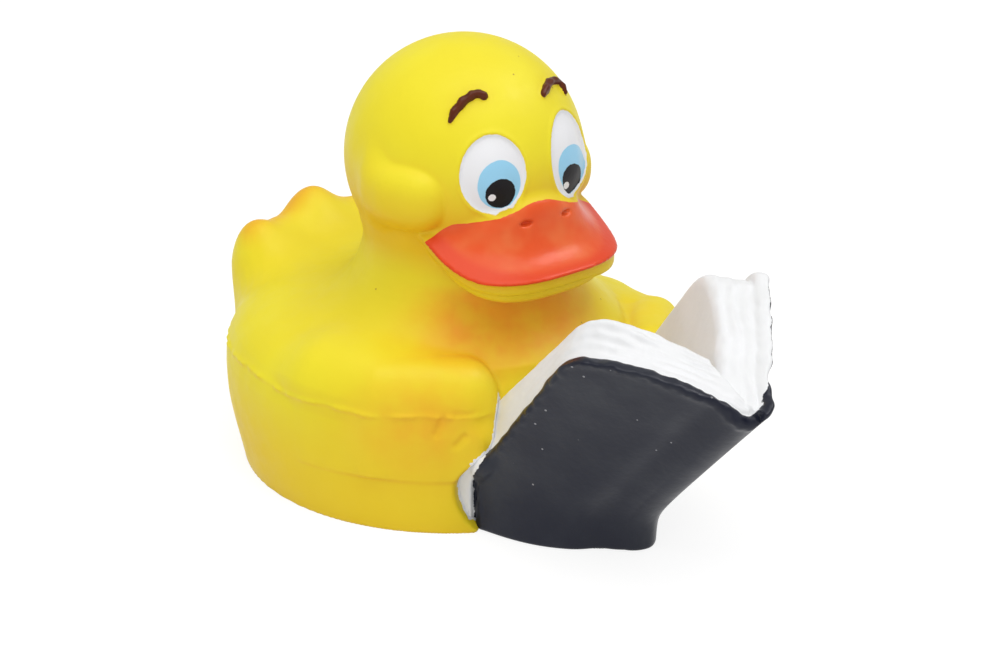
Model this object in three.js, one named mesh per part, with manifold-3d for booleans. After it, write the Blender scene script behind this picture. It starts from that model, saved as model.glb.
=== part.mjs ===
// A reading rubber duck: one hollow natural-rubber moulding, with the open book
// it holds moulded on in one piece. Millimetres, +Z up, the duck looks along -Y.
import * as THREE from "three";
import { mergeVertices } from "three/addons/utils/BufferGeometryUtils.js";
import Module from "manifold-3d";

// The moulding's skin, and the air hole under the base that lets it breathe.
const WALL = 2.2;
const AIR_HOLE_DIAMETER = 3;
const DRILL_LENGTH = 4 * WALL;

// Head: a ball on a short neck, whose waist is narrower than the head all round.
// Its upright axis is where y is zero while the duck is built.
const HEAD_RADIUS = 22;
const HEAD_HEIGHT = 59.5;
const NECK_WAIST = 3.5;
const NECK_FLARE = 15;
const NECK_FOOT_HEIGHT = 28;

// Body: a round drum with a round shoulder, set a little behind the head.
// Its flat base is smaller than the belly all round.
const BODY_RADIUS = 41;
const BODY_SETBACK = 6;
const BASE_INSET = 2;
const BELLY_HEIGHT = 18;
const SHOULDER_HEIGHT = 32;
const SHOULDER_RADIUS = 20;
const SHOULDER_ROUNDING = 5;

// Tail: three upturned lobes across the back of the body.
const TAIL_HEIGHT = 40;
const TAIL_OVERHANG = 7.5;
const TAIL_LOBE_WIDTH = 15.5;
const TAIL_LOBE_DEPTH = 12;
const TAIL_LOBE_LENGTH = 31;
const TAIL_SIDE_TURN_DEG = 17.5;
const TAIL_SIDE_DROP = 3.5;

// Arms: thick wings that run from the sides of the body to the hands on the book.
const ARM_HEIGHT = 22;
const ARM_THICKNESS = 19;
const ARM_OVERRUN = 9;
const ARM_ROOT_SINK = 2.5;
const ARM_ROOT_FORWARD = 4;
const ARM_ROOT_HEIGHT = 21;
const HAND_SIZE = new THREE.Vector3(11, 15, 21);
const HAND_HEIGHT = 20;
const HAND_OVERHANG = 1.5;
const HAND_GRIP = 1;

// Bill: a broad, steep upper half over a thinner lower lip.
const BILL_WIDTH = 38;
const BILL_OVERHANG = 6;
const BILL_ROOT = 10;
const BILL_DROP = 9.5;
const BILL_DROOP = 0.3;
const BILL_RISE = 8.5;
const BILL_RIM = 3;
const LIP_SETBACK = 1.2;
const LIP_DEPTH = 9;

// Cheeks and brows stand up from the face.
const CHEEK_RADIUS = 8;
const CHEEK_SINK = 4.5;
const CHEEK_TURN_DEG = 70;
const CHEEK_DROP_DEG = 8;
const BROW_SIZE = new THREE.Vector3(9, 3, 2.4);
const BROW_TURN_DEG = 36;
const BROW_RISE_DEG = 40;
const BROW_TILT_DEG = 35;

// Book: two blocks of pages between covers, open in a V, standing on the ground and leaning away.
// Its foot is upright, up to a bend that rises towards the duck; above the bend it leans.
const BOOK_STANDOFF = 18.8;
const SPINE_WIDTH = 8;
const SPINE_CHAMFER = 2;
const SPINE_HEIGHT = 33;
const TOP_SLOPE = 0.42;
const FOOT_HEIGHT = 7;
const FOOT_SLOPE = 0.2;
const SPINE_LEAN = 0.95;
const LEAN_LOSS = 0.0033;
const COVER_LENGTH = 29;
const COVER_THICKNESS = 2.2;
const BLOCK_THICKNESS = 8.8;
const PAGE_INSET = 1;
const OPEN_HALF_ANGLE_DEG = 37;
const BOOK_TURN_DEG = -4;

// Facets round a full turn.
const TURN_FACETS = 36;
const SMALL_FACETS = 16;
const CURVE_STEPS = 6;
const BOOK_STEPS = 6;

// Places that follow from those sizes.
const BODY_BACK = BODY_SETBACK + BODY_RADIUS;
const BODY_FRONT = BODY_RADIUS - BODY_SETBACK;
const SPINE_FRONT = BODY_FRONT + BOOK_STANDOFF;
const TAIL_REACH = BODY_BACK + TAIL_OVERHANG;
const BILL_REACH = HEAD_RADIUS + BILL_OVERHANG;

const rad = THREE.MathUtils.degToRad;
const wasm = await Module();
wasm.setup();

// A closed three.js geometry as a solid that can be joined and cut.
function solid(geometry) {
  const bare = geometry.clone();
  bare.deleteAttribute("normal");
  bare.deleteAttribute("uv");
  const merged = mergeVertices(bare);
  const corners = merged.index.array;
  const triangles = [];
  for (let i = 0; i < corners.length; i += 3) {
    const [a, b, c] = corners.slice(i, i + 3);
    if (a !== b && b !== c && c !== a) triangles.push(a, b, c);
  }
  const mesh = new wasm.Mesh({
    numProp: 3,
    vertProperties: new Float32Array(merged.attributes.position.array),
    triVerts: new Uint32Array(triangles),
  });
  return new wasm.Manifold(mesh);
}

function join(solids) {
  return solids.reduce((all, next) => all.add(next));
}

// Pockets that are closed in where round forms meet are filled with rubber. Their surfaces face
// inwards, so they count as less than nothing.
function filled(body) {
  return join(body.decompose().filter((surface) => surface.volume() > 0));
}

// The same feature on the duck's left (+1) and right (-1).
function bothSides(make) {
  return [1, -1].map((side) => make(side));
}

function geometryOf(body) {
  const { vertProperties, triVerts } = body.getMesh();
  const geometry = new THREE.BufferGeometry();
  geometry.setAttribute("position", new THREE.BufferAttribute(vertProperties, 3));
  geometry.setIndex(new THREE.BufferAttribute(triVerts, 1));
  geometry.computeVertexNormals();
  return geometry;
}

// A profile of radius and height turned round the upright axis.
function turned(profile) {
  return new THREE.LatheGeometry(profile, TURN_FACETS).rotateX(Math.PI / 2);
}

// A ball stretched to the full sizes along x, y and z.
function ellipsoid(size, facets) {
  const ball = new THREE.SphereGeometry(0.5, facets, facets / 2).rotateX(Math.PI / 2);
  return ball.scale(size.x, size.y, size.z);
}

// Moves every vertex of a geometry by a formula.
function reshaped(geometry, move) {
  const places = geometry.attributes.position;
  const point = new THREE.Vector3();
  for (let i = 0; i < places.count; i += 1) {
    point.fromBufferAttribute(places, i);
    move(point);
    places.setXYZ(i, point.x, point.y, point.z);
  }
  return geometry;
}

// The hollow forms are made twice: once at the outer skin, once inset by the wall.
function body(inset) {
  const radius = BODY_RADIUS - inset;
  const base = radius - BASE_INSET;
  const outline = new THREE.Path();
  outline.moveTo(0, inset);
  outline.lineTo(base, inset);
  outline.bezierCurveTo((base + radius) / 2, inset, radius, BELLY_HEIGHT / 2, radius, BELLY_HEIGHT);
  const top = SHOULDER_HEIGHT - inset;
  const round = SHOULDER_ROUNDING;
  outline.bezierCurveTo(radius, top - round, radius - round, top, SHOULDER_RADIUS, top);
  outline.lineTo(0, top);
  return solid(turned(outline.getPoints(CURVE_STEPS)).translate(0, BODY_SETBACK, 0));
}

// The neck flares at its foot and runs up into the ball of the head.
function headOnNeck(inset) {
  const radius = HEAD_RADIUS - inset;
  const waist = radius - NECK_WAIST;
  const foot = NECK_FOOT_HEIGHT - inset;
  const start = -Math.acos(waist / radius);
  const nape = HEAD_HEIGHT + radius * Math.sin(start);
  const outline = new THREE.Path();
  outline.moveTo(0, foot);
  outline.lineTo(waist + NECK_FLARE, foot);
  outline.quadraticCurveTo(waist, (foot + nape) / 2, waist, nape);
  outline.absarc(0, HEAD_HEIGHT, radius, start, Math.PI / 2);
  return solid(turned(outline.getPoints(CURVE_STEPS)));
}

// Each arm is stretched between its root in the body's side and its hand.
function arm(side, inset) {
  const root = new THREE.Vector3(side * (BODY_RADIUS - ARM_ROOT_SINK), -ARM_ROOT_FORWARD, ARM_ROOT_HEIGHT);
  const hand = handPlace(side);
  const reach = new THREE.Vector3().subVectors(hand, root);
  const length = Math.hypot(reach.x, reach.y) + ARM_OVERRUN;
  const size = new THREE.Vector3(ARM_THICKNESS, length, ARM_HEIGHT).subScalar(2 * inset);
  const wing = ellipsoid(size, SMALL_FACETS).rotateZ(Math.atan2(reach.x, -reach.y));
  const middle = root.add(hand).divideScalar(2);
  return solid(wing.translate(middle.x, middle.y, middle.z));
}

function skin(inset) {
  return join([body(inset), headOnNeck(inset), ...bothSides((side) => arm(side, inset))]);
}

function airHole() {
  const radius = AIR_HOLE_DIAMETER / 2;
  const drill = new THREE.CylinderGeometry(radius, radius, DRILL_LENGTH, SMALL_FACETS);
  return solid(drill.rotateX(Math.PI / 2).translate(0, BODY_SETBACK, 0));
}

// A hand closes on the page edge, just outside the end of the cover.
function handPlace(side) {
  const plan = bookPoint(COVER_LENGTH + HAND_OVERHANG, HAND_GRIP);
  return turnedWithBook(leaned(new THREE.Vector3(side * plan.x, plan.y, HAND_HEIGHT)));
}

function hand(side) {
  const place = handPlace(side);
  return solid(ellipsoid(HAND_SIZE, SMALL_FACETS).translate(place.x, place.y, place.z));
}

// One lobe stands upright, with its top at the given height and its back at the tail's reach.
function tailLobe(turnDeg, drop) {
  const size = new THREE.Vector3(TAIL_LOBE_WIDTH, TAIL_LOBE_DEPTH, TAIL_LOBE_LENGTH);
  const lobe = ellipsoid(size, SMALL_FACETS);
  lobe.translate(0, TAIL_REACH - TAIL_LOBE_DEPTH / 2, TAIL_HEIGHT - drop - TAIL_LOBE_LENGTH / 2);
  return solid(lobe.rotateZ(rad(turnDeg)));
}

function tail() {
  const sides = bothSides((side) => tailLobe(side * TAIL_SIDE_TURN_DEG, TAIL_SIDE_DROP));
  return join([tailLobe(0, 0), ...sides]);
}

// A broad rounded form whose plan is a squarish oval, and which droops towards the front.
function billForm(width, reach, rise, depth) {
  const plan = new THREE.Vector2(width / 2, reach - BILL_ROOT);
  const ball = new THREE.SphereGeometry(1, TURN_FACETS, SMALL_FACETS).rotateX(Math.PI / 2);
  return reshaped(ball, (point) => {
    const round = Math.hypot(point.x, point.y);
    const square = Math.cbrt(Math.abs(point.x) ** 3 + Math.abs(point.y) ** 3);
    const spread = square > 0 ? round / square : 1;
    point.x *= spread * plan.x;
    point.y *= spread * plan.y;
    point.z *= point.z > 0 ? rise : depth;
    point.z += HEAD_HEIGHT - BILL_DROP + BILL_DROOP * point.y;
    point.y -= BILL_ROOT;
  });
}

function bill() {
  const upper = solid(billForm(BILL_WIDTH, BILL_REACH, BILL_RISE, BILL_RIM));
  const lip = solid(billForm(BILL_WIDTH - 2 * LIP_SETBACK, BILL_REACH - LIP_SETBACK, BILL_RIM, LIP_DEPTH));
  return upper.add(lip);
}

// Puts a geometry that was made round the origin onto the head, facing out along its radius.
function onHead(geometry, distance, turnDeg, riseDeg) {
  geometry.translate(0, -distance, 0).rotateX(-rad(riseDeg)).rotateZ(rad(turnDeg));
  return geometry.translate(0, 0, HEAD_HEIGHT);
}

function cheek(side) {
  const puff = ellipsoid(new THREE.Vector3().setScalar(2 * CHEEK_RADIUS), SMALL_FACETS);
  return solid(onHead(puff, HEAD_RADIUS - CHEEK_SINK, side * CHEEK_TURN_DEG, -CHEEK_DROP_DEG));
}

function brow(side) {
  const size = new THREE.Vector3(BROW_SIZE.x, BROW_SIZE.z, BROW_SIZE.y);
  const ridge = ellipsoid(size, SMALL_FACETS / 2).rotateY(side * rad(BROW_TILT_DEG));
  return solid(onHead(ridge, HEAD_RADIUS, side * BROW_TURN_DEG, BROW_RISE_DEG));
}

// Half of the book's plan, on the side of +x: points along the cover and in through the pages.
function bookPoint(along, inward) {
  const angle = rad(OPEN_HALF_ANGLE_DEG);
  const x = SPINE_WIDTH / 2 + along * Math.sin(angle) - inward * Math.cos(angle);
  const y = SPINE_CHAMFER - SPINE_FRONT + along * Math.cos(angle) + inward * Math.sin(angle);
  return new THREE.Vector2(x, y);
}

// Where the page faces meet in the middle of the book.
function gutter() {
  const angle = rad(OPEN_HALF_ANGLE_DEG);
  const depth = COVER_THICKNESS + BLOCK_THICKNESS;
  const along = (depth * Math.cos(angle) - SPINE_WIDTH / 2) / Math.sin(angle);
  return new THREE.Vector2(0, bookPoint(along, depth).y);
}

// Moves a point of the upright book forward, by how far it is above the bend.
function leaned(point) {
  const behind = point.y + SPINE_FRONT;
  const aboveBend = Math.max(0, point.z - FOOT_HEIGHT - FOOT_SLOPE * behind);
  point.y -= aboveBend * (SPINE_LEAN - LEAN_LOSS * behind);
  return point;
}

// The book is turned a little about the front of its spine.
function turnedWithBook(point) {
  const hinge = new THREE.Vector3(0, -SPINE_FRONT, 0);
  return point.sub(hinge).applyAxisAngle(new THREE.Vector3(0, 0, 1), rad(BOOK_TURN_DEG)).add(hinge);
}

// A plan outline, mirrored in the middle plane, raised into the leaning book.
function bookSolid(half, topInset) {
  const mirrored = half.filter((point) => point.x > 0).map((point) => new THREE.Vector2(-point.x, point.y));
  const blank = new THREE.ExtrudeGeometry(new THREE.Shape([...half, ...mirrored.reverse()]), {
    depth: 1,
    steps: BOOK_STEPS,
    bevelEnabled: false,
  });
  return solid(reshaped(blank, (point) => {
    point.z *= SPINE_HEIGHT + TOP_SLOPE * (point.y + SPINE_FRONT) - topInset;
    turnedWithBook(leaned(point));
  }));
}

function book() {
  const pageEnd = COVER_LENGTH - PAGE_INSET;
  const cover = [
    new THREE.Vector2(SPINE_WIDTH / 2 - SPINE_CHAMFER, -SPINE_FRONT),
    bookPoint(0, 0),
    bookPoint(COVER_LENGTH, 0),
    bookPoint(COVER_LENGTH, COVER_THICKNESS),
    bookPoint(0, COVER_THICKNESS),
  ];
  const pages = [
    bookPoint(0, COVER_THICKNESS / 2),
    bookPoint(pageEnd, COVER_THICKNESS / 2),
    bookPoint(pageEnd, COVER_THICKNESS + BLOCK_THICKNESS),
    gutter(),
  ];
  return bookSolid(cover, 0).add(bookSolid(pages, PAGE_INSET));
}

const features = [
  tail(),
  bill(),
  book(),
  ...bothSides(hand),
  ...bothSides(cheek),
  ...bothSides(brow),
];
const outside = filled(join([skin(0), ...features]));
const moulding = outside.subtract(skin(WALL)).subtract(airHole());

const rubber = new THREE.MeshStandardMaterial({ color: 0xf1e13b, roughness: 0.45, metalness: 0 });
const duck = new THREE.Mesh(geometryOf(moulding), rubber);
duck.name = "duck_moulding";

// The origin is on the ground, under the middle of the whole length.
duck.geometry.computeBoundingBox();
duck.position.y = -duck.geometry.boundingBox.getCenter(new THREE.Vector3()).y;

const readingDuck = new THREE.Group();
readingDuck.add(duck);

export default readingDuck;
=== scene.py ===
import math

import bpy
import numpy as np
import openvdb
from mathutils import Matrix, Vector

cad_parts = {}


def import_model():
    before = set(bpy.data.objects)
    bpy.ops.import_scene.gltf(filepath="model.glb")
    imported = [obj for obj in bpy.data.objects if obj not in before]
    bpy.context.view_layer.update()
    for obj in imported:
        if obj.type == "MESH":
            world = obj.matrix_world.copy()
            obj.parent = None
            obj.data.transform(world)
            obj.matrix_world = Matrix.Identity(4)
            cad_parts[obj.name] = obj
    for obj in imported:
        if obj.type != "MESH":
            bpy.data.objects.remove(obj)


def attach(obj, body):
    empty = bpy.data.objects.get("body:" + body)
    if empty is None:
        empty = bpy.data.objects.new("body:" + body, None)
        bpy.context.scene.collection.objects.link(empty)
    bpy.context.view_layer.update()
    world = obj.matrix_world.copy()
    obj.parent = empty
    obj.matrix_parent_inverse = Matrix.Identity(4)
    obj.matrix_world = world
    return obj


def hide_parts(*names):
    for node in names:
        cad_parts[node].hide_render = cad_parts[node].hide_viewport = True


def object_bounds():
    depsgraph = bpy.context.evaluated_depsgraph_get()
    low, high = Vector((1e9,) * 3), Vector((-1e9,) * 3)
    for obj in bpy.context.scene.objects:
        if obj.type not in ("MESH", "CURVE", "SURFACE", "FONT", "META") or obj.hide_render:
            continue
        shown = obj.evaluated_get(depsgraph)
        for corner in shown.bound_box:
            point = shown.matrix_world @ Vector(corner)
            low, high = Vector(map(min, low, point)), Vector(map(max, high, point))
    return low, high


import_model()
cad_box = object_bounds()

# The duck is sculpted in millimetres. The origin of the sculpting frame is on the ground, under the
# middle of the head; the duck looks along -y and its left side is +x.
MM = 0.001
TAIL_REACH = 54.5
HEAD_AXIS = np.array([0.0, cad_box[1].y / MM - TAIL_REACH, 0.0])

# Camera: the direction it looks from, what it looks at, and how far away it stands.
CAMERA_AZIMUTH = -39
CAMERA_ELEVATION = 23
CAMERA_DISTANCE = 500
CAMERA_TARGET = np.array([5.13, -4.14, 23.35])
CAMERA_LENS = 95.41
SENSOR_WIDTH = 36

# Head, neck and chin.
HEAD_CENTRE = np.array([0.0, 0.0, 59.5])
HEAD_RADIUS = 22.0
NECK_RADIUS = 18.5
NECK_FOOT = 28.0
CHIN = np.array([0.0, -8.0, 42.5])
CHIN_RADII = np.array([13.8, 12.8, 7.2])

# Body: it is lower in front and at the left shoulder, and its base lies a little forward.
BODY_SETBACK = 6.0
BODY_RADIUS = 41.7
BASE_RADIUS = 40.0
BASE_SHIFT = 2.0
BELLY_HEIGHT = 18.0
SHOULDER_HEIGHT = 32.0
FRONT_DROP = 3.0
SIDE_DROP = 4.7
CHEST_HOLLOW = 5.0
AIR_HOLE_RADIUS = 1.5
AIR_HOLE_DEPTH = 7.0

# The line that the mould left round the body.
SEAM_HEIGHT = 23.0
SEAM_DEPTH = 0.42
SEAM_WIDTH = 0.45
SEAM_WANDER = 0.35

# Tail: a fan with three knobs on its edge. A knob has its turn round the head's axis, the height of
# its top and its half width.
TAIL_RADIUS = 46.5
TAIL_SWEEP = 9.0
FAN_HALF_TURN = 12
FAN_MIDDLE = 20.0
FAN_HEIGHT = 35.8
FAN_HALF_DEPTH = 6.0
KNOBS = ((1.5, 39.8, 5.9), (20.0, 37.0, 4.7), (-20.0, 37.0, 4.7))
KNOB_FOOT = 12.0
KNOB_SHIFT = 0.7
KNOB_HALF_DEPTH = 5.6
KNOB_HALF_HEIGHT = 9.0

# Wings: the middle line of the right one in plan, from the shoulder to the tip, and its hand. The left
# one follows it across the book, but for its elbow. Heights are for the right (-1) and the left (1).
WING_LINE = np.array([(-33.0, -3.0), (-29.5, -13.5), (-19.3, -23.3)])
LEFT_ELBOW = np.array([32.3, -15.5])
WING_MIDDLE = {-1: 20.0, 1: 16.6}
SHOULDER_FALL = {-1: 0.5, 1: 3.0}
WING_RADII = (7.1, 11.2)
WING_FOOT = 10.5
HAND = np.array([-20.2, -23.9, 15.0])
HAND_RADII = np.array([5.6, 7.2, 6.6])
HAND_TURN = 34.6

# Creases between the fingers: each runs between two places on the right hand's face, given along the
# level direction HAND_FACE and above the ground.
HAND_FACE = np.array([0.77, -0.63])
CREASES = (((-3.3, 22.8), (-4.5, 19.6)), ((-1.0, 23.3), (1.8, 23.2)), ((0.5, 19.4), (-1.0, 17.6)))
CREASE_DEPTH = 0.45
CREASE_WIDTH = 0.6

# Bill: the plan is a squarish oval, and the rim rises to the corners of the mouth.
BILL_HALF_WIDTH = 17.8
BILL_CENTRE = -10.3
BILL_REACH = 19.4
BILL_BACK = 6.0
BILL_POWER = 2.8
BILL_FLARE = 0.32
SCOOP_HEIGHT = 3.1
RIM_FRONT = 45.7
RIM_RISE = 4.6
RIM_START = -27.0
RIM_RUN = 14.0
RIM_POWER = 1.8
RIM_UNDERSIDE = 1.2

# The bill's top edge has a hump in its middle and is lower on the left.
BRIDGE_HEIGHT = 53.0
BRIDGE_HUMP = 3.8
BRIDGE_SHIFT = -1.2
BRIDGE_WIDTH = 8.5
BRIDGE_FALL = 1.6
BRIDGE_MARGIN = 0.7
NOSTRIL = np.array([4.6, -23.7, 53.4])
NOSTRIL_RADII = np.array([1.3, 1.1, 0.5])

# Lip and jaw: their reach as a share of the rim's, how far they lie below it, and their radius. The
# left of the lip is fuller.
LIP = (0.92, 2.4, 1.3)
LIP_MORE_LEFT = (0.03, 0.4, 0.3)
JAW = (0.83, 4.3, 1.5)

# Eyes on the right (-1) and the left (1), as ovals drawn on the head: degrees round it and above its
# middle, half sizes in degrees, and how far the oval is skewed. The toy's own eyes differ a little.
EYE = {-1: (-24.3, 7.7, 16.2, 18.8, 0), 1: (25.0, 8.0, 17.5, 21.0, 0)}
IRIS = {-1: (-21.4, 2.6, 10.7, 11.9, 0), 1: (27.0, -0.6, 14.2, 12.4, 0.33)}
PUPIL = {-1: (-21.0, -1.6, 7.5, 7.4, 0), 1: (25.4, -5.0, 9.6, 7.9, 0.38)}
EYE_EDGE = 0.16
EYE_HOLLOW = 0.42
EYE_DOME = 0.65
LEFT_EYE_BULGE = 0.9

# The glint's place and size, as shares of the pupil's half sizes.
GLINT_SHIFT = (-0.57, -0.2)
GLINT_SIZE = 0.25

# Cheeks: degrees round the head and above its middle, and how deep their middles lie in it.
CHEEK = {-1: (-69, -7.0, 4.0), 1: (69, -13.0, 4.8)}
CHEEK_RADII = np.array([8.2, 7.0, 6.6])

# Brows from the outer end to the inner end: degrees round the head and above its middle, and half width.
BROW_RIGHT = (
    (-45.7, 33.3, 0.3), (-43.9, 37.4, 0.6), (-39.4, 42.3, 0.76),
    (-33.6, 45.5, 0.72), (-28.6, 46.2, 0.7), (-25.0, 45.1, 0.66),
)
BROW_LEFT = (
    (43.2, 33.2, 0.35), (44.5, 36.2, 0.45), (44.2, 39.4, 0.55), (38.7, 41.9, 0.66),
    (31.2, 42.5, 0.72), (23.7, 41.3, 0.7), (17.6, 39.2, 0.5),
)
BROW_STAND = 0.35
BROW_LUMPS = 0.12

# Book: where its spine stands, how it is turned, and how far its two halves open.
BOOK_FRONT = -53.8
BOOK_SHIFT = -1.4
BOOK_TURN = math.radians(4)
NEAR_ANGLE = math.radians(37)
FAR_ANGLE = math.radians(36.5)

# Its lean over the lap, which starts above an upright foot.
FOOT_HEIGHT = 6.0
FOOT_SLOPE = 0.2
SPINE_LEAN = 0.97
NEAR_LEAN_LOSS = 0.0025
FAR_LEAN_LOSS = 0.007
FOOT_BULGE = 3.2
SPINE_NARROWING = 0.7

# Its top edge, which rises from the spine.
SPINE_HEIGHT = 36.0
NEAR_SLOPE = 0.44
COVER_SLOPE = 0.84
COVER_BOW = 0.0195
COVER_SINK = 1.1
FAR_SLOPE = 0.53
FAR_TOP_SKEW = 0.55

# Its cover, with a bead round the edge, a groove at the hinge and a knob near the foot.
SPINE_RADIUS = 5.0
COVER_LENGTH = 27.7
COVER_SPREAD = 0.037
COVER_THICKNESS = 2.2
COVER_CORNER = 3.0
BEAD_DEPTH = 0.42
FAR_BEAD = 0.2
HINGE_DEPTH = 0.8
HINGE_PLACE = 4.5
HINGE_WIDTH = 2.6
COVER_KNOB_HEIGHT = 13.0
COVER_KNOB_RADII = np.array([2.0, 2.2, 2.8])

# Its pages: the reach of the innermost one on the ground and what it loses per millimetre up, the
# reach at the foot, and the open faces.
BLOCK_THICKNESS = 8.8
NEAR_PAGE = (37.2, 0.145)
FAR_PAGE = (33.0, 0.07)
PAGE_FOOT = 4.2
PAGE_FACE = SPINE_RADIUS - COVER_THICKNESS - BLOCK_THICKNESS
FAR_PAGE_FACE = PAGE_FACE + 1.5
NEAR_ARCH = 1.4
FAR_ARCH = -1.8
PAGE_SINK = 0.8
PAGE_STRIP = 1.4
LEAF_WAVE = 3.1


# Sculpting tools. A field gives the distance to a form's surface, less than zero inside it.
def soft_union(a, b, width):
    overlap = np.maximum(width - np.abs(a - b), 0) / width
    return np.minimum(a, b) - overlap * overlap * width / 4


def soft_common(a, b, width):
    return -soft_union(-a, -b, width)


def fade(start, end, value):
    """0 at start and 1 at end, with a smooth slope between."""
    t = np.clip((value - start) / (end - start), 0, 1)
    return t * t * (3 - 2 * t)


def hump(value, width):
    return np.exp(-((value / width) ** 2))


def ellipsoid(p, radii, power=2.0):
    """A ball stretched to its radii; a power above 2 makes it boxier."""
    q = np.abs(p) / radii + 1e-9
    level = (q**power).sum(1) ** (1 / power)
    slope = np.linalg.norm((q / level[:, None]) ** (power - 1) / radii, axis=1)
    return (level - 1) / slope


def capsule(p, start, end, radius, end_radius=None):
    along = end - start
    t = np.clip((p - start) @ along / (along @ along), 0, 1)
    if end_radius is not None:
        radius = radius + t * (end_radius - radius)
    return np.linalg.norm(p - start - t[:, None] * along, axis=1) - radius


def upright(far, height, radii, power):
    """A form as wide as the first radius from its middle line, and as high as the second."""
    return ellipsoid(np.stack([far, height], 1), np.array(radii), power)


def lumps(p, size, seed):
    """Smooth unevenness between about -1 and 1, with humps of about the given size."""
    random = np.random.default_rng(seed)
    total = np.zeros(len(p))
    for _ in range(7):
        direction = random.normal(size=3)
        wave = direction / np.linalg.norm(direction) * (random.uniform(0.7, 1.6) * math.pi / size)
        total += np.sin(p @ wave + random.uniform(0, 2 * math.pi))
    return total / 3


def bezier(*points, count=14):
    points = np.array(points, float)
    t = np.linspace(0, 1, count)[:, None]
    degree = len(points) - 1
    return sum(math.comb(degree, i) * t**i * (1 - t) ** (degree - i) * points[i] for i in range(degree + 1))


class Turned:
    """The field of an outline of radius and height, turned round an upright axis."""

    STEP = 0.4
    MARGIN = 14

    def __init__(self, outline):
        outline = np.vstack([outline, (outline * (-1, 1))[::-1]])
        self.low = np.array([0, outline[:, 1].min() - self.MARGIN])
        high = outline.max(0) + self.MARGIN
        axes = [np.arange(a, b, self.STEP) for a, b in zip(self.low, high)]
        r, z = np.meshgrid(*axes, indexing="ij")
        nearest = np.full(r.shape, 1e9)
        inside = np.zeros(r.shape, bool)
        for (r0, z0), (r1, z1) in zip(outline, np.roll(outline, -1, 0)):
            along = (r1 - r0, z1 - z0)
            size = along[0] ** 2 + along[1] ** 2
            if size == 0:
                continue
            t = np.clip(((r - r0) * along[0] + (z - z0) * along[1]) / size, 0, 1)
            nearest = np.minimum(nearest, np.hypot(r - r0 - t * along[0], z - z0 - t * along[1]))
            if z0 != z1:
                crossing = ((z0 > z) != (z1 > z)) & (r < r0 + (z - z0) * along[0] / along[1])
                inside ^= crossing
        self.table = np.where(inside, -nearest, nearest)

    def __call__(self, radius, height):
        place = (np.stack([radius, height], 1) - self.low) / self.STEP
        place = np.clip(place, 0, np.array(self.table.shape) - 1.001)
        i, j = place.astype(int).T
        u, v = (place - np.floor(place)).T
        t = self.table
        low = t[i, j] * (1 - u) + t[i + 1, j] * u
        high = t[i, j + 1] * (1 - u) + t[i + 1, j + 1] * u
        return low * (1 - v) + high * v


BODY = Turned(np.vstack([
    [(0, 0)],
    bezier((BASE_RADIUS, 0), (BASE_RADIUS, 0), (BODY_RADIUS, 9), (BODY_RADIUS, BELLY_HEIGHT)),
    bezier((BODY_RADIUS, BELLY_HEIGHT), (BODY_RADIUS, 27), (36, SHOULDER_HEIGHT), (20, SHOULDER_HEIGHT)),
    [(0, SHOULDER_HEIGHT)],
]))
NECK = Turned(np.vstack([
    [(0, 8), (NECK_FOOT - 1, 8)],
    bezier((NECK_FOOT, 28), (NECK_RADIUS, 37.8), (NECK_RADIUS, 47.6)),
    [(17, 52), (0, 54)],
]))


def about_z(p, degrees):
    a = math.radians(degrees)
    turn = np.array([[math.cos(a), math.sin(a), 0], [-math.sin(a), math.cos(a), 0], [0, 0, 1]])
    return p @ turn


def on_head(turn, rise, distance):
    """A point out from the middle of the head, by degrees round it and above it."""
    a, b = math.radians(turn), math.radians(rise)
    out = np.array([math.sin(a) * math.cos(b), -math.cos(a) * math.cos(b), math.sin(b)])
    return HEAD_CENTRE + distance * out


def head_degrees(p):
    out = p - HEAD_CENTRE
    far = np.linalg.norm(out, axis=1)
    turn = np.degrees(np.arctan2(out[:, 0], -out[:, 1]))
    rise = np.degrees(np.arcsin(np.clip(out[:, 2] / far, -1, 1)))
    return turn, rise


def head_oval(turn, rise, oval):
    """Millimetres outside an oval that is drawn on the head."""
    middle_turn, middle_rise, half_turn, half_rise, skew = oval
    degree = math.radians(HEAD_RADIUS)
    aside = turn - middle_turn
    q = np.stack([aside / half_turn, (rise - middle_rise + skew * aside) / half_rise], 1)
    level = np.linalg.norm(q, axis=1) + 1e-9
    slope = np.linalg.norm(q / np.array([half_turn, half_rise]), axis=1) / level / degree
    return (level - 1) / np.maximum(slope, 1e-6)


def nearest_oval(turn, rise, ovals):
    return np.minimum(head_oval(turn, rise, ovals[-1]), head_oval(turn, rise, ovals[1]))


def tail_field(p):
    x, y, z = p.T
    radius = np.hypot(x, y)
    past_end = np.maximum(np.abs(np.degrees(np.arctan2(x, y))) - FAN_HALF_TURN, 0)
    inward = TAIL_SWEEP * fade(29, 6, z)
    far = np.hypot(radius - TAIL_RADIUS + inward, np.radians(past_end) * radius)
    d = upright(far, z - FAN_MIDDLE, (FAN_HALF_DEPTH, FAN_HEIGHT - FAN_MIDDLE), power=2.5)
    for turn, top, half_width in KNOBS:
        q = about_z(p, -turn)
        q[:, 1] -= TAIL_RADIUS + KNOB_SHIFT - inward
        q[:, 2] -= np.clip(z, KNOB_FOOT, top - KNOB_HALF_HEIGHT)
        knob = ellipsoid(q, np.array([half_width, KNOB_HALF_DEPTH, KNOB_HALF_HEIGHT]))
        d = soft_union(d, knob, width=4)
    return d


def across_book(point):
    """The same place on the left of the book as a point on its right."""
    c, s = math.cos(BOOK_TURN), math.sin(BOOK_TURN)
    turn = np.array([[c, s], [-s, c]])
    unturned = (point[:2] - (0, BOOK_FRONT)) @ turn
    moved = point.copy()
    moved[:2] = (unturned * (-1, 1)) @ turn.T + (0, BOOK_FRONT)
    return moved


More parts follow.
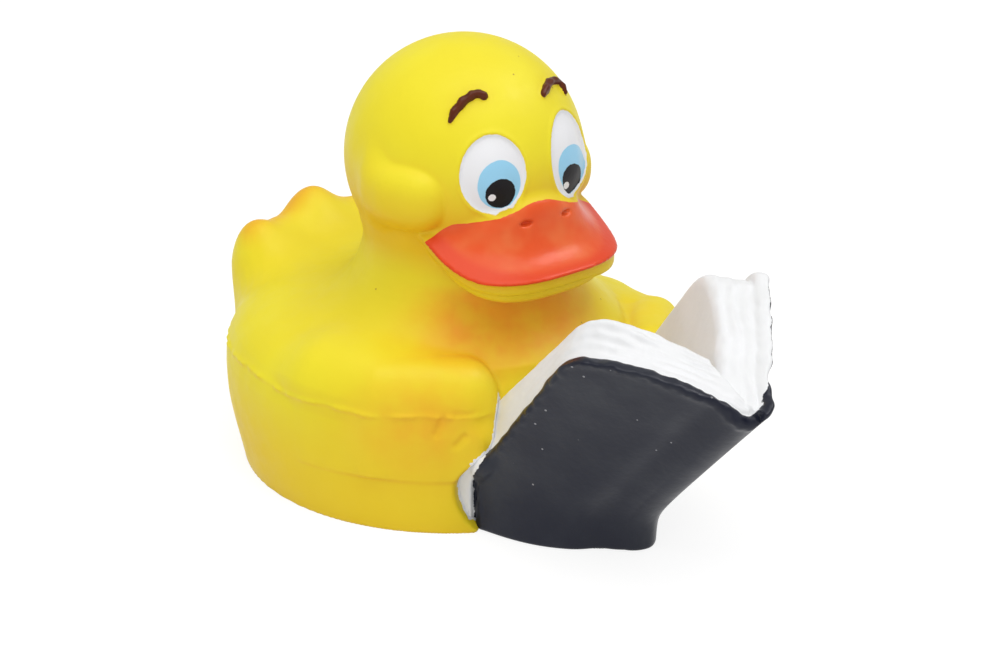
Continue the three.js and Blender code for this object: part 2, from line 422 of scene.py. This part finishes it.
def wing_field(p, side):
    line, hand = WING_LINE, HAND
    if side > 0:
        line = np.array([WING_LINE[0] * (-1, 1), LEFT_ELBOW, across_book(WING_LINE[-1])])
        hand = across_book(HAND)
    parts = [capsule(p[:, :2], start, end, 0) for start, end in zip(line, line[1:])]
    middle = WING_MIDDLE[side] - SHOULDER_FALL[side] * fade(-20, -3, p[:, 1])
    d = upright(np.minimum(*parts), np.maximum(p[:, 2] - middle, 0), WING_RADII, power=2.4)
    d = soft_union(d, ellipsoid(about_z(p - hand, side * HAND_TURN), HAND_RADII, power=4), width=1.5)
    return soft_common(d, WING_FOOT - p[:, 2], width=0.4)


def finger_creases(p):
    """1 in the short creases on the right hand, which are drawn on the face that looks forward and out."""
    drawn = np.stack([p[:, :2] @ HAND_FACE, p[:, 2]], 1)
    far = [capsule(drawn, np.array(start), np.array(end), 0) for start, end in CREASES]
    on_hand = fade(-12, -15, p[:, 0]) * fade(-17, -20, p[:, 1])
    return hump(np.minimum.reduce(far), CREASE_WIDTH) * on_hand


def seam(p):
    """About 1 along the mould line, which runs out in front, under the neck and behind."""
    x, y, z = p.T
    line = hump(z - SEAM_HEIGHT - SEAM_WANDER * lumps(p, 14, 5), SEAM_WIDTH)
    uneven = 0.75 + 0.5 * lumps(p, 2.2, 6)
    outside = fade(26, 31, np.hypot(x, y - BODY_SETBACK))
    beside = fade(14, 18, np.abs(x) + np.maximum(y, 0))
    return line * uneven * outside * beside * fade(38, 27, y)


def body_field(p):
    x, y, z = p.T
    drop = FRONT_DROP * fade(0, -26, y) + SIDE_DROP * fade(16, 31, x) * fade(16, 2, y)
    drop = drop * fade(14, 29, z)
    setback = BODY_SETBACK - BASE_SHIFT * fade(14, 0, z)
    hollow = CHEST_HOLLOW * fade(23, 13, np.abs(x)) * fade(-10, -24, y) * fade(2, 20, z)
    d = BODY(np.hypot(x, y - setback) + hollow, z + drop)
    d = soft_union(d, NECK(np.hypot(x, y), z), width=7)
    d = soft_union(d, tail_field(p), width=11)
    for side in (1, -1):
        d = soft_union(d, wing_field(p, side), width=1 + 5 * fade(-22, -8, y) * fade(20, 26, z))
    return d - SEAM_DEPTH * seam(p)


def bill_plan(p):
    """How far out in the bill's plan a point is, as a share of the rim and as its slope per millimetre."""
    reach = np.where(p[:, 1] < BILL_CENTRE, BILL_REACH, BILL_BACK)
    a = np.abs(p[:, 0]) / BILL_HALF_WIDTH
    b = np.abs(p[:, 1] - BILL_CENTRE) / reach
    level = (a**BILL_POWER + b**BILL_POWER) ** (1 / BILL_POWER) + 1e-9
    bend = BILL_POWER - 1
    slope = np.hypot(a**bend / BILL_HALF_WIDTH, b**bend / reach) / level**bend
    return level, np.maximum(slope, 0.01)


def rim_height(p):
    return RIM_FRONT + RIM_RISE * np.clip((p[:, 1] - RIM_START) / RIM_RUN, 0, 1.3) ** RIM_POWER


def bridge_height(x):
    """The top edge of the bill, high in the middle."""
    return BRIDGE_HEIGHT + BRIDGE_HUMP * hump(x - BRIDGE_SHIFT, BRIDGE_WIDTH) - BRIDGE_FALL * fade(9, 14, x)


def upper_bill(p):
    """A steep front with a hollow above its flared rim."""
    level, slope = bill_plan(p)
    height = p[:, 2] - rim_height(p)
    flare = BILL_FLARE * np.exp(-np.maximum(height, -1) / SCOOP_HEIGHT)
    lean = flare / SCOOP_HEIGHT / slope
    wall = (level - 1 + BILL_FLARE - flare) / slope / np.sqrt(1 + lean**2)
    top = p[:, 2] - bridge_height(p[:, 0]) - BRIDGE_MARGIN
    d = soft_common(wall, top, width=3)
    return soft_common(d, -RIM_UNDERSIDE - height, width=1.4)


def lower_lip(p):
    """A thin lip under the rim, and the fold of the jaw below it."""
    level, slope = bill_plan(p)
    below = rim_height(p) - p[:, 2]
    left = fade(2, 14, p[:, 0])

    def fold(share, depth, radius):
        return np.hypot(np.maximum((level - share) / slope, 0), below - depth) - radius

    lip = fold(*[value + more * left for value, more in zip(LIP, LIP_MORE_LEFT)])
    return soft_union(lip, fold(*JAW), width=0.6)


def cheek_field(p, side):
    """A puff that stands proud in front and below, and how far behind its middle a point is."""
    turn, rise, depth = CHEEK[side]
    q = about_z(p - on_head(turn, rise, HEAD_RADIUS - depth), -turn)
    return ellipsoid(q, CHEEK_RADII, power=2.5), side * q[:, 0]


def brow_field(p):
    d = np.full(len(p), 100.0)
    for line in (BROW_RIGHT, BROW_LEFT):
        points = [on_head(turn, rise, HEAD_RADIUS + BROW_STAND) for turn, rise, _ in line]
        for i in range(len(line) - 1):
            length = capsule(p, points[i], points[i + 1], line[i][2], line[i + 1][2])
            d = soft_union(d, length, width=0.3)
    return d - BROW_LUMPS * lumps(p, 1.1, 3)


def eye_relief(p):
    """A raised edge round each eye, with a hollow inside it that rises to a dome."""
    turn, rise = head_degrees(p)
    outside = nearest_oval(turn, rise, EYE)
    edge = EYE_EDGE * hump(outside - 0.35, 0.45)
    hollow = -EYE_HOLLOW * fade(0.15, -0.35, outside) + EYE_DOME * fade(-0.4, -5.5, outside)
    bulge = LEFT_EYE_BULGE * hump(turn - 42, 14) * hump(rise + 5, 12)
    return (edge + hollow + bulge) * fade(65, 50, np.abs(turn)) * fade(-2, -8, p[:, 1])


def nostril_field(p):
    q = p.copy()
    q[:, 0] = np.abs(q[:, 0])
    return ellipsoid(q - NOSTRIL, NOSTRIL_RADII)


def duck_field(p):
    x, y, z = p.T
    d = body_field(p)
    d = soft_union(d, np.linalg.norm(p - HEAD_CENTRE, axis=1) - HEAD_RADIUS, width=3)
    d = soft_union(d, ellipsoid(p - CHIN, CHIN_RADII), width=4)
    d = soft_union(d, lower_lip(p), width=0.9)
    d = soft_union(d, upper_bill(p), width=1.3)
    for side in (1, -1):
        puff, behind = cheek_field(p, side)
        d = soft_union(d, puff, width=0.5 + 5 * fade(1, 9, behind))
    d = d - eye_relief(p)
    d = soft_union(d, brow_field(p), width=0.3)
    d = soft_common(d, -nostril_field(p), width=0.4)
    d = d + CREASE_DEPTH * finger_creases(p)
    d = soft_common(d, book_room(p), width=0.8)
    air_hole = np.maximum(np.hypot(x, y - BODY_SETBACK) - AIR_HOLE_RADIUS, z - AIR_HOLE_DEPTH)
    return np.maximum(np.maximum(d, -z), -air_hole)


# The book is measured upright: along a cover from the spine, out through it, and up.
def book_places(p):
    """Undoes the book's turn and its lean, and gives along, out, up, behind the spine, and the side."""
    c, s = math.cos(BOOK_TURN), math.sin(BOOK_TURN)
    aside = p[:, 0] - BOOK_SHIFT
    x = aside * c - (p[:, 1] - BOOK_FRONT) * s
    leaned = aside * s + (p[:, 1] - BOOK_FRONT) * c
    behind = leaned.copy()
    side = np.sign(x)
    loss = np.where(side < 0, NEAR_LEAN_LOSS, FAR_LEAN_LOSS)
    for _ in range(7):
        above = p[:, 2] - FOOT_HEIGHT - FOOT_SLOPE * behind
        above = (above + np.sqrt(above**2 + 9)) / 2
        behind = leaned + above * (SPINE_LEAN - loss * behind)
    across, back = np.abs(x), behind - SPINE_RADIUS
    angle = np.where(side < 0, NEAR_ANGLE, FAR_ANGLE)
    along = across * np.sin(angle) + back * np.cos(angle)
    out = across * np.cos(angle) - back * np.sin(angle)
    out = np.where(along < 0, np.hypot(across, back) * np.sign(out), out)
    bulge = FOOT_BULGE * cover_arch(along) * fade(30, 2, p[:, 2])
    out = out + np.where(side < 0, -bulge, SPINE_NARROWING * fade(0, 4, x))
    return along, out, p[:, 2], behind, side


def cover_arch(along):
    """0 at the spine and at the cover's end, and 1 between them."""
    return np.sin(np.clip(along / COVER_LENGTH, 0, 1) * math.pi)


def book_top(behind, out, side):
    straight = NEAR_SLOPE * behind
    bowed = COVER_SLOPE * behind - COVER_BOW * behind**2 - COVER_SINK
    near = straight + (bowed - straight) * fade(-6, 3, out)
    far = FAR_SLOPE * (behind + FAR_TOP_SKEW * out)
    return SPINE_HEIGHT + np.where(side < 0, near, far)


def cover_end(up):
    return COVER_LENGTH + COVER_SPREAD * np.clip(up, 0, 45)


def page_face(side):
    return np.where(side < 0, PAGE_FACE, FAR_PAGE_FACE)


def page_end(out, up, side):
    """The pages fan out, so the inner ones reach further than the cover, and at the foot they all do."""
    outer = cover_end(up) - 1
    inner = np.where(side < 0, NEAR_PAGE[0] - NEAR_PAGE[1] * up, FAR_PAGE[0] - FAR_PAGE[1] * up)
    fan = np.clip((SPINE_RADIUS - COVER_THICKNESS - out) / (BLOCK_THICKNESS + NEAR_ARCH), 0, 1.05)
    foot = fade(21, 9, up)
    reach = PAGE_FOOT - 0.05 * np.clip(9 - up, 0, 9) ** 2
    return outer + (inner - outer) * fan * (1 - foot) + reach * foot


def cover_field(p, places):
    along, out, up, behind, side = places
    past_end = along - cover_end(up)
    past_top = up - book_top(behind, out, side)
    corner = np.hypot(np.maximum(past_end + COVER_CORNER, 0), np.maximum(past_top + COVER_CORNER, 0))
    edge = np.maximum(corner - COVER_CORNER, np.maximum(past_end, past_top))
    bead = BEAD_DEPTH * hump(edge + 0.6, 0.9) * (0.65 + 0.35 * lumps(p, 1.5, 11))
    bead = bead * np.where(side < 0, 1, FAR_BEAD)
    groove = HINGE_DEPTH * hump(along - HINGE_PLACE, HINGE_WIDTH)
    middle = SPINE_RADIUS - COVER_THICKNESS / 2
    sheet = np.abs(out - middle) - COVER_THICKNESS / 2 - bead + groove * (out > middle)
    d = soft_common(sheet, edge - 0.2 * lumps(p, 2.2, 12), width=1.2)
    from_knob = np.stack([past_end + 0.4, out - SPINE_RADIUS + 0.6, up - COVER_KNOB_HEIGHT], 1)
    d = soft_union(d, ellipsoid(from_knob, COVER_KNOB_RADII), width=1.5)
    return soft_common(d, -up, width=0.8)


def page_field(p, places):
    along, out, up, behind, side = places
    face = page_face(side) - np.where(side < 0, NEAR_ARCH, FAR_ARCH) * cover_arch(along) - out
    past_cover = fade(0.2, 0.8, along - cover_end(up))
    back = out - SPINE_RADIUS + COVER_THICKNESS / 2 - PAGE_STRIP * past_cover
    leaves = np.sin(out * LEAF_WAVE + 1.6 * lumps(p, 11, 21)) * (0.6 + 0.5 * lumps(p, 6, 23))
    leaves = leaves + 0.5 * lumps(p, 1.6, 22)
    end = along - page_end(out, up, side) + 0.06 * leaves
    top = up - book_top(behind, out, side) + PAGE_SINK + 0.16 * leaves
    d = soft_common(face, soft_common(end, top, width=5), width=1.6)
    d = soft_common(d, back, width=0.6)
    return soft_common(d, 0.3 - up, width=0.8)


def book_room(p):
    """How far into the book a point is: the wings and the belly give way to it."""
    along, out, up, behind, side = book_places(p)
    room = np.minimum(page_end(out, up, side) - 0.3 - along, out - page_face(side))
    return np.minimum(room, book_top(behind, out, side) + 2 - up)


def book_field(p):
    places = book_places(p)
    return soft_union(cover_field(p, places), page_field(p, places), width=0.35)


# From fields to meshes. Each mesh has a box it fits in, the step of its grid and its most triangles.
BLOCK = 8
CHUNK = 400000
COARSER = 1.0
DUCK_BOX = ((-48, -40, -2), (48, 58, 85))
DUCK_STEP = 0.42 * COARSER
DUCK_TRIANGLES = 190000
BOOK_BOX = ((-28, -84, -2), (30, -14, 52))
BOOK_STEP = 0.3 * COARSER
BOOK_TRIANGLES = 150000


def slope_of(field, p, step=0.05):
    shifts = step * np.eye(3)
    return np.stack([field(p + s) - field(p - s) for s in shifts], 1) / (2 * step)


def sampled(field, low, count, step):
    """A grid of the field's values, worked out in full only in the blocks near the surface."""
    blocks = np.stack(np.meshgrid(*[np.arange(n) for n in count], indexing="ij"), -1).reshape(-1, 3)
    rough = field(low + (blocks * BLOCK + (BLOCK - 1) / 2) * step)
    values = np.empty((len(blocks), BLOCK**3), np.float32)
    values[:] = rough[:, None]
    near = np.nonzero(np.abs(rough) < 1.5 * BLOCK * step)[0]
    inside = np.stack(np.meshgrid(*[np.arange(BLOCK)] * 3, indexing="ij"), -1).reshape(-1, 3)
    at_once = CHUNK // BLOCK**3
    for start in range(0, len(near), at_once):
        chosen = near[start:start + at_once]
        places = (blocks[chosen][:, None] * BLOCK + inside[None]).reshape(-1, 3)
        values[chosen] = field(low + places * step).reshape(len(chosen), -1)
    values = values.reshape(*count, BLOCK, BLOCK, BLOCK).transpose(0, 3, 1, 4, 2, 5)
    return np.ascontiguousarray(values.reshape(*(count * BLOCK)))


def snapped(field, points, rounds=2):
    """Points moved onto the surface, by no more than a small step each round."""
    for _ in range(rounds):
        slope = slope_of(field, points)
        move = -field(points)[:, None] * slope / np.maximum((slope**2).sum(1), 0.2)[:, None]
        far = np.linalg.norm(move, axis=1)[:, None]
        points = points + move * np.minimum(1, 0.3 / np.maximum(far, 1e-9))
    return points


def cast(name, field, box, step, most_triangles):
    """A closed mesh of a field's surface, with fewer triangles where it is flat."""
    low, high = np.array(box, float)
    count = np.ceil((high - low) / step / BLOCK).astype(int)
    grid = openvdb.FloatGrid(1e3)
    grid.copyFromArray(sampled(field, low, count, step))
    points, quads = grid.convertToQuads(0.0)
    points = snapped(field, low + points.astype(float) * step)
    a, b, c = (points[quads[:, i]] for i in range(3))
    if (np.cross(b - a, c - a) * slope_of(field, a)).sum() < 0:
        quads = quads[:, ::-1]
    mesh = bpy.data.meshes.new(name)
    mesh.from_pydata(points, [], quads)
    piece = bpy.data.objects.new(name, mesh)
    bpy.context.scene.collection.objects.link(piece)
    fewer = piece.modifiers.new("fewer", "DECIMATE")
    fewer.ratio = min(1.0, most_triangles / (2 * len(quads)))
    graph = bpy.context.evaluated_depsgraph_get()
    piece.data = bpy.data.meshes.new_from_object(piece.evaluated_get(graph))
    piece.modifiers.clear()
    piece.data.name = name
    return piece


def vertices_of(piece):
    flat = np.empty(len(piece.data.vertices) * 3)
    piece.data.vertices.foreach_get("co", flat)
    return flat.reshape(-1, 3)


def paint(piece, **layers):
    for name, values in layers.items():
        layer = piece.data.attributes.new(name, "FLOAT", "POINT")
        layer.data.foreach_set("value", np.clip(values, -5, 5).astype(np.float32))


def place(piece):
    """Moves a sculpted mesh to the part's own frame, in metres."""
    flat = (vertices_of(piece) + HEAD_AXIS) * MM
    piece.data.vertices.foreach_set("co", flat.reshape(-1))
    piece.data.shade_smooth()
    piece.data.update()


# Layers of paint. Most give millimetres outside a painted field; tint and the painted shade layer give
# shares.
def bill_paint(p):
    turn, _ = head_degrees(p)
    top = p[:, 2] - bridge_height(p[:, 0]) + 3.3 * fade(42, 60, np.abs(turn))
    under = rim_height(p) - 1.3 - p[:, 2]
    behind = (np.abs(turn) - 56.5) * math.radians(HEAD_RADIUS)
    return np.maximum(np.maximum(top, under), behind)


def rim_paint(p):
    """Millimetres above the red line along the rim, which is thicker to the sides."""
    return p[:, 2] - rim_height(p) - 0.9 * fade(3, 18, np.abs(p[:, 0]))


def eye_paint(p):
    turn, rise = head_degrees(p)
    hidden = 9 * fade(-4, 2, p[:, 1])
    above_bill = bridge_height(p[:, 0]) + 0.5 - p[:, 2]
    white = np.maximum(nearest_oval(turn, rise, EYE), above_bill) + hidden
    iris = np.maximum(nearest_oval(turn, rise, IRIS), white + 0.25)
    pupil = np.maximum(nearest_oval(turn, rise, PUPIL), white + 0.3)
    glints = {}
    for side, oval in PUPIL.items():
        middle, half = np.array(oval[:2]), np.array(oval[2:4])
        glints[side] = (*(middle + GLINT_SHIFT * half), *(GLINT_SIZE * half), oval[4])
    glint = nearest_oval(turn, rise, glints) + hidden
    return dict(eye=white, iris=iris, pupil=pupil, glint=glint)


def tint_paint(p):
    """Where an orange mist was sprayed: wings, chest and tail tips."""
    x, y, z = p.T
    tint = np.zeros(len(p))
    for hand, strength in ((HAND, 0.8), (across_book(HAND), 0.3)):
        outward = hand + np.array([np.sign(hand[0]) * 6, 2, 6])
        q = (p - outward) / np.array([12, 12, 9])
        tint = np.maximum(tint, strength * np.exp(-(q**2).sum(1)))
    q = (p - np.array([-5, -20.5, 35.5])) / np.array([17, 11, 8])
    chest = np.minimum(1.7 * np.exp(-(q**2).sum(1)), 1) * fade(42, 39, z)
    tail = 0.8 * fade(42, 49, np.hypot(x, y)) * fade(31.5, 37, z)
    return np.maximum(np.maximum(tint, chest), tail)


def warm_paint(p):
    """Painted shade: more where the surface faces down, lies in a crease, or is low on the body or on the
    lower face, standing in for shade and warm bounce light.
    """
    normal = slope_of(duck_field, p)
    normal = normal / np.linalg.norm(normal, axis=1)[:, None]
    crease = sum(np.clip(1 - duck_field(p + far * normal) / far, 0, 1) for far in (3, 8)) / 2
    low = 0.35 * fade(22, 6, p[:, 2]) + 0.5 * fade(67, 50, p[:, 2]) * fade(40, 48, p[:, 2])
    return np.clip(0.42 * fade(0.55, -0.6, normal[:, 2]) + 0.45 * crease + low, 0, 1)


def cover_paint(p):
    """The dark paint ends inside the cover's edge, and further in along the top of the far half."""
    along, out, up, behind, side = book_places(p)
    at_top = fade(-2.2, -1.2, up - book_top(behind, out, side))
    inner = 2.9 + 1.8 * at_top * fade(-2, 8, along) * (side > 0)
    return np.maximum(inner - out, along - cover_end(up) - 0.4)


def make_duck():
    piece = cast("duck", duck_field, DUCK_BOX, DUCK_STEP, DUCK_TRIANGLES)
    p = vertices_of(piece)
    paint(piece, bill=bill_paint(p), above_rim=rim_paint(p), brow=brow_field(p), **eye_paint(p))
    paint(piece, tint=tint_paint(p), warm=warm_paint(p), splash=page_field(p, book_places(p)))
    place(piece)
    piece.data.materials.clear()
    piece.data.materials.append(duck_material())
    return piece


def make_book():
    piece = cast("book", book_field, BOOK_BOX, BOOK_STEP, BOOK_TRIANGLES)
    paint(piece, cover=cover_paint(vertices_of(piece)))
    place(piece)
    piece.data.materials.clear()
    piece.data.materials.append(book_material())
    return piece


# Materials.
class Shader:
    """A material whose nodes are written as short calls."""

    def __init__(self, name):
        self.material = bpy.data.materials.new(name)
        self.material.use_nodes = True
        self.tree = self.material.node_tree
        self.surface = self.tree.nodes["Principled BSDF"]

    def node(self, kind, inputs=None, **settings):
        node = self.tree.nodes.new(kind)
        for key, value in settings.items():
            setattr(node, key, value)
        for key, value in (inputs or {}).items():
            self.feed(node.inputs[key], value)
        return node

    def feed(self, socket, value):
        if isinstance(value, bpy.types.NodeSocket):
            self.tree.links.new(value, socket)
        else:
            socket.default_value = value

    def layer(self, name):
        return self.node("ShaderNodeAttribute", attribute_name=name).outputs["Fac"]

    def math(self, operation, a, b=0.0):
        return self.node("ShaderNodeMath", {0: a, 1: b}, operation=operation).outputs[0]

    def noise(self, size, detail=3.0, roughness=0.5):
        """Noise between 0 and 1, with the given size in millimetres."""
        place = self.node("ShaderNodeTexCoord").outputs["Object"]
        inputs = {"Vector": place, "Scale": 1 / (size * MM), "Detail": detail, "Roughness": roughness}
        return self.node("ShaderNodeTexNoise", inputs).outputs["Fac"]

    def ramp(self, value, start, end, low=0.0, high=1.0):
        inputs = {"Value": value, 1: start, 2: end, 3: low, 4: high}
        return self.node("ShaderNodeMapRange", inputs, interpolation_type="SMOOTHSTEP").outputs[0]

    def edge(self, layer, wobble=0.2, size=0.9, soft=0.05):
        """1 inside a painted layer, with an uneven edge."""
        shift = self.math("MULTIPLY_ADD", self.noise(size), 2 * wobble)
        shift.node.inputs[2].default_value = -wobble
        return self.ramp(self.math("ADD", self.layer(layer), shift), soft, -soft)

    def specks(self, size, spacing):
        """1 in a scatter of small dots, at about half of the places a spacing apart."""
        place = self.node("ShaderNodeTexCoord").outputs["Object"]
        cells = self.node("ShaderNodeTexVoronoi", {"Vector": place, "Scale": 1 / (spacing * MM)})
        dot = self.ramp(cells.outputs["Distance"], size / spacing, 0.6 * size / spacing)
        return self.math("MULTIPLY", dot, self.ramp(cells.outputs["Color"], 0.5, 0.52))

    def mix(self, share, low, high):
        node = self.node("ShaderNodeMix", data_type="RGBA")
        self.feed(node.inputs["Factor"], share)
        self.feed(node.inputs[6], low)
        self.feed(node.inputs[7], high)
        return node.outputs[2]

    def blend(self, share, low, high):
        node = self.node("ShaderNodeMix", data_type="FLOAT")
        self.feed(node.inputs["Factor"], share)
        self.feed(node.inputs[2], low)
        self.feed(node.inputs[3], high)
        return node.outputs[0]

    def bump(self, height, depth, normal=None):
        """Unevenness of the given depth in millimetres."""
        node = self.node("ShaderNodeBump", {"Height": height, "Distance": depth * MM})
        if normal:
            self.feed(node.inputs["Normal"], normal)
        return node.outputs["Normal"]


YELLOW = (0.84, 0.71, 0.022, 1)
YELLOW_PALE = (0.86, 0.745, 0.028, 1)
# The darker orange yellow of the painted shade.
YELLOW_SHADED = (0.80, 0.50, 0.015, 1)
YELLOW_SPECK = (0.45, 0.28, 0.02, 1)
MIST = (0.86, 0.37, 0.02, 1)
BILL_RED = (0.75, 0.06, 0.012, 1)
BILL_ORANGE = (0.79, 0.095, 0.02, 1)
BILL_PALE = (0.82, 0.20, 0.06, 1)
EYE_WHITE = (0.83, 0.83, 0.85, 1)
IRIS_BLUE = (0.32, 0.64, 0.86, 1)
PUPIL_BLACK = (0.006, 0.005, 0.007, 1)
BROW_BROWN = (0.075, 0.009, 0.001, 1)
BROW_WORN = (0.13, 0.026, 0.005, 1)
PAGE_WHITE = (0.84, 0.845, 0.855, 1)
PAGE_CREAM = (0.81, 0.815, 0.82, 1)
COVER_BLACK = (0.009, 0.011, 0.023, 1)
COVER_WORN = (0.022, 0.025, 0.036, 1)
COVER_SPECK = (0.3, 0.3, 0.32, 1)
FLOOR_PALE = (0.86, 0.86, 0.86, 1)
FLOOR_SHADE = (0.28, 0.28, 0.28, 1)
FLOOR_GLOW = 0.82
WHITE = (1, 1, 1, 1)

BILL_ROUGHNESS = 0.28
EYE_ROUGHNESS = 0.3
PUPIL_ROUGHNESS = 0.5
BROW_ROUGHNESS = 0.35
PAGE_ROUGHNESS = 0.5
FLOOR_ROUGHNESS = 0.9
DUCK_SPECULAR = 0.22
BOOK_SPECULAR = 0.28


def duck_material():
    s = Shader("painted_rubber")
    colour = s.mix(s.ramp(s.noise(18, 2), 0.35, 0.65), YELLOW, YELLOW_PALE)
    # Painted shade: the shade layer mixes in a darker orange yellow in creases, on faces that look down,
    # low on the body and on the lower face.
    colour = s.mix(s.layer("warm"), colour, YELLOW_SHADED)
    mist = s.math("MULTIPLY", s.layer("tint"), s.ramp(s.noise(5), 0.2, 0.7, 0.6, 1))
    colour = s.mix(mist, colour, MIST)
    colour = s.mix(s.specks(0.22, 6), colour, YELLOW_SPECK)
    rough = s.ramp(s.noise(3), 0.3, 0.7, 0.42, 0.52)
    bill = s.edge("bill", 0.18, 1.6)
    orange = s.mix(s.ramp(s.noise(7, 2), 0.4, 0.75, 0, 0.6), BILL_ORANGE, BILL_PALE)
    orange = s.mix(s.ramp(s.layer("above_rim"), 0.9, -0.3), orange, BILL_RED)
    colour = s.mix(bill, colour, orange)
    rough = s.blend(bill, rough, BILL_ROUGHNESS)
    eye = s.edge("eye", 0.12, 1.0)
    colour = s.mix(eye, colour, EYE_WHITE)
    rough = s.blend(eye, rough, EYE_ROUGHNESS)
    colour = s.mix(s.edge("iris", 0.08, 1.2), colour, IRIS_BLUE)
    pupil = s.edge("pupil", 0.12, 0.7)
    colour = s.mix(pupil, colour, PUPIL_BLACK)
    rough = s.blend(pupil, rough, PUPIL_ROUGHNESS)
    colour = s.mix(s.edge("glint", 0.06, 0.7), colour, EYE_WHITE)
    brow = s.ramp(s.layer("brow"), 0.22, 0.12)
    colour = s.mix(brow, colour, s.mix(s.noise(0.8), BROW_BROWN, BROW_WORN))
    rough = s.blend(brow, rough, BROW_ROUGHNESS)
    from_pages = s.math("ADD", s.layer("splash"), s.math("MULTIPLY", s.noise(1.0), -1.6))
    colour = s.mix(s.ramp(from_pages, 0.0, -0.1), colour, PAGE_WHITE)
    s.feed(s.surface.inputs["Base Color"], colour)
    s.feed(s.surface.inputs["Roughness"], rough)
    s.surface.inputs["Specular IOR Level"].default_value = DUCK_SPECULAR
    skin = s.bump(s.noise(0.9, 2), 0.03)
    s.feed(s.surface.inputs["Normal"], s.bump(s.noise(4), 0.08, skin))
    return s.material


def book_material():
    s = Shader("painted_book")
    page = s.mix(s.ramp(s.noise(7), 0.35, 0.7), PAGE_WHITE, PAGE_CREAM)
    cover = s.mix(s.ramp(s.noise(12, 4), 0.4, 0.75), COVER_BLACK, COVER_WORN)
    cover = s.mix(s.specks(0.26, 3.2), cover, COVER_SPECK)
    mask = s.edge("cover", 0.5, 1.3)
    rough = s.blend(mask, PAGE_ROUGHNESS, s.ramp(s.noise(5), 0.3, 0.7, 0.32, 0.42))
    s.feed(s.surface.inputs["Base Color"], s.mix(mask, page, cover))
    s.feed(s.surface.inputs["Roughness"], rough)
    s.surface.inputs["Specular IOR Level"].default_value = BOOK_SPECULAR
    s.feed(s.surface.inputs["Normal"], s.bump(s.noise(1.2), 0.05))
    return s.material


def floor_material():
    """Pale, and seen as white where no shadow falls."""
    s = Shader("pale_floor")
    s.surface.inputs["Base Color"].default_value = FLOOR_PALE
    s.surface.inputs["Roughness"].default_value = FLOOR_ROUGHNESS
    rays = s.node("ShaderNodeLightPath").outputs
    mirrored = s.math("MAXIMUM", rays["Is Glossy Ray"], rays["Is Transmission Ray"])
    seen = s.math("MAXIMUM", rays["Is Camera Ray"], mirrored)
    glow = s.node("ShaderNodeEmission", {"Color": WHITE, "Strength": FLOOR_GLOW}).outputs[0]
    matt = s.node("ShaderNodeBsdfDiffuse", {"Color": FLOOR_SHADE}).outputs[0]
    white = s.node("ShaderNodeAddShader", {0: glow, 1: matt}).outputs[0]
    both = s.node("ShaderNodeMixShader", {0: seen, 1: s.surface.outputs[0], 2: white}).outputs[0]
    s.tree.links.new(both, s.tree.nodes["Material Output"].inputs["Surface"])
    return s.material


# Floor, light and camera, in metres.
FLOOR_SIZE = 6
SKY_STRENGTH = 0.62
LIGHT_AIM = Vector((0, 0, 0.04))


def floor():
    bpy.ops.mesh.primitive_plane_add(size=FLOOR_SIZE)
    ground = bpy.context.object
    ground.name = "floor"
    ground.data.materials.append(floor_material())


def world():
    sky = bpy.data.worlds.new("studio")
    sky.use_nodes = True
    background = sky.node_tree.nodes["Background"]
    background.inputs["Color"].default_value = WHITE
    background.inputs["Strength"].default_value = SKY_STRENGTH
    bpy.context.scene.world = sky


def lamp(name, place, size, power, glossy=True, diffuse=True):
    data = bpy.data.lights.new(name, "AREA")
    data.shape = "DISK"
    data.size = size
    data.energy = power
    lamp_object = bpy.data.objects.new(name, data)
    lamp_object.location = place
    lamp_object.visible_glossy = glossy
    lamp_object.visible_diffuse = diffuse
    lamp_object.rotation_euler = (LIGHT_AIM - Vector(place)).to_track_quat("-Z", "Y").to_euler()
    bpy.context.scene.collection.objects.link(lamp_object)


def camera():
    a, e = math.radians(CAMERA_AZIMUTH), math.radians(CAMERA_ELEVATION)
    back = Vector((math.sin(a) * math.cos(e), -math.cos(a) * math.cos(e), math.sin(e)))
    data = bpy.data.cameras.new("camera")
    data.sensor_width = SENSOR_WIDTH
    data.lens = CAMERA_LENS
    view = bpy.data.objects.new("camera", data)
    view.location = Vector((CAMERA_TARGET + HEAD_AXIS) * MM) + back * CAMERA_DISTANCE * MM
    view.rotation_euler = back.to_track_quat("Z", "Y").to_euler()
    bpy.context.scene.collection.objects.link(view)
    bpy.context.scene.camera = view


duck = make_duck()
book = make_book()
for piece in (duck, book):
    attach(piece, "root")
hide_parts("duck_moulding")

floor()
world()
lamp("overhead", (-0.05, -0.15, 0.75), size=0.7, power=2.8)
lamp("front", (-0.7, -0.55, 0.45), size=0.6, power=1.0, glossy=False)
lamp("shine", (0.38, -0.2, 0.55), size=0.25, power=1.2, diffuse=False)
camera()
bpy.context.scene.view_settings.view_transform = "Standard"
